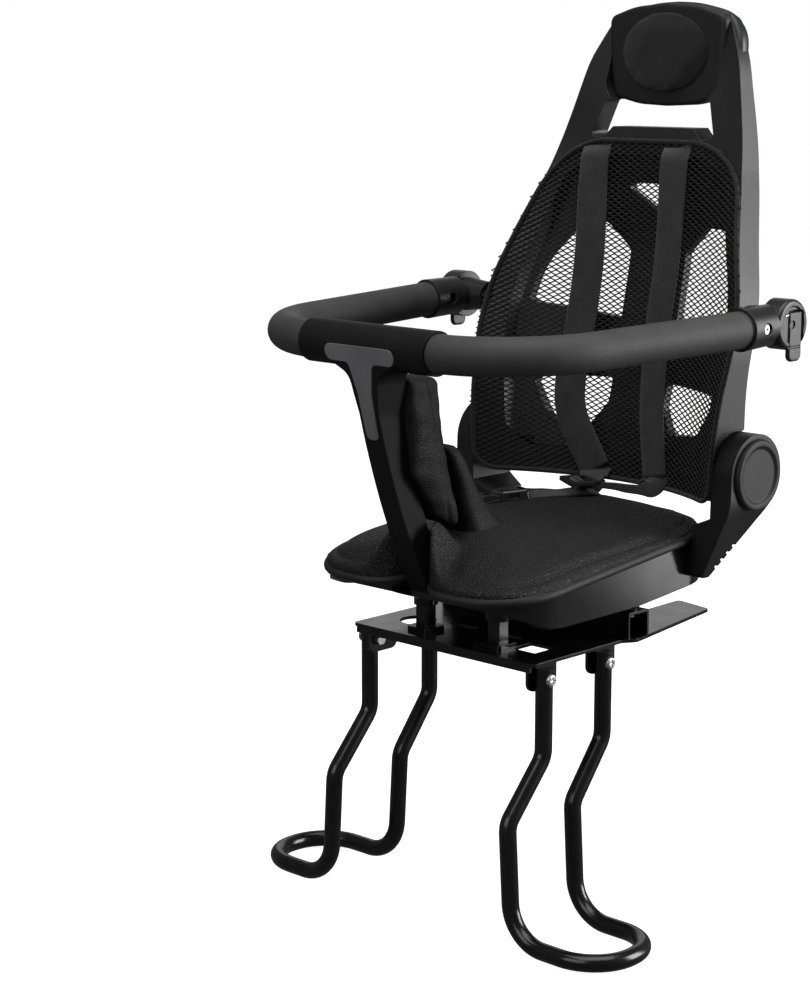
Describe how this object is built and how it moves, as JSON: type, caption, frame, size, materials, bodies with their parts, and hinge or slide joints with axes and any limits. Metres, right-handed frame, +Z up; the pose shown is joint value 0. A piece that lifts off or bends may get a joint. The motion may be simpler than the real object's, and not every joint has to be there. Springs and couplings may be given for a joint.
{
  "type": "rear child bike seat",
  "caption": "Rear child bicycle seat with a reclining mesh backrest, a swing-up foam bar with a T post, a padded seat, harness straps and bent tube footrests on a rack plate.",
  "frame": {"origin": "middle of the mount plate's underside, on the face that lies on the rack", "axes": "+Z up, the child faces -Y, +X is the child's left"},
  "size_m": [0.3546, 0.3622, 0.6623],
  "materials": {
    "black_steel": "gloss black coating",
    "zinc": "bright zinc",
    "dark_plastic": "satin dark grey",
    "cap_plastic": "satin charcoal",
    "hub_plastic": "satin dark grey",
    "insert_plastic": "satin grey",
    "leatherette": "pebbled black",
    "webbing": "ribbed black webbing",
    "knit": "fine black knit",
    "mesh": "open black mesh",
    "foam": "charcoal foam"
  },
  "bodies": {
    "base": {"mount_plate": "black_steel", "front_stand_left": "black_steel", "front_stand_right": "black_steel", "rear_channel": "black_steel", "seat_bolts": "zinc", "footrest_left": "black_steel", "footrest_right": "black_steel", "footrest_screws": "zinc", "footrest_nuts": "zinc", "seat_pan": "dark_plastic", "seat_cushion": "leatherette", "crotch_tongue": "leatherette", "lap_strap": "webbing", "harness_buckle": "dark_plastic", "strap_slider": "dark_plastic", "hinge_arm_left": "dark_plastic", "hinge_arm_right": "dark_plastic", "arm_screws": "zinc", "hinge_cap_left": "cap_plastic", "hinge_cap_right": "cap_plastic", "hinge_pin_left": "zinc", "hinge_pin_right": "zinc"},
    "backrest": {"back_frame": "dark_plastic", "head_panel": "dark_plastic", "head_pad": "knit", "back_mesh": "mesh", "shoulder_strap_left": "webbing", "shoulder_strap_right": "webbing", "bar_stub_left": "dark_plastic", "bar_stub_right": "dark_plastic"},
    "bar": {"bar_tube": "black_steel", "bar_foam_left": "foam", "bar_foam_right": "foam", "bar_hub_left": "hub_plastic", "bar_hub_right": "hub_plastic", "hub_screws": "zinc", "lever_pin_left": "zinc", "lever_pin_right": "zinc", "t_post": "dark_plastic", "t_insert": "insert_plastic", "crotch_pad": "leatherette"},
    "left_lever": {"release_lever_left": "hub_plastic"},
    "right_lever": {"release_lever_right": "hub_plastic"}
  },
  "joints": [
    {"name": "backrest_recline", "type": "hinge", "parent": "base", "child": "backrest", "pos_m": [0, 0.1355, 0.118], "axis": [-1, 0, 0], "range_deg": [0, 20]},
    {"name": "bar_swing", "type": "hinge", "parent": "backrest", "child": "bar", "pos_m": [0, 0.132, 0.232], "axis": [-1, 0, 0], "range_deg": [0, 85]},
    {"name": "left_release_lever", "type": "hinge", "parent": "bar", "child": "left_lever", "pos_m": [0.1644, 0.136, 0.239], "axis": [0, -1, 0], "range_deg": [0, 18], "stiffness_Nm_per_rad": 0.05, "springref_deg": -5.73},
    {"name": "right_release_lever", "type": "hinge", "parent": "bar", "child": "right_lever", "pos_m": [-0.1644, 0.136, 0.239], "axis": [0, 1, 0], "range_deg": [0, 18], "stiffness_Nm_per_rad": 0.05, "springref_deg": -5.73}
  ]
}
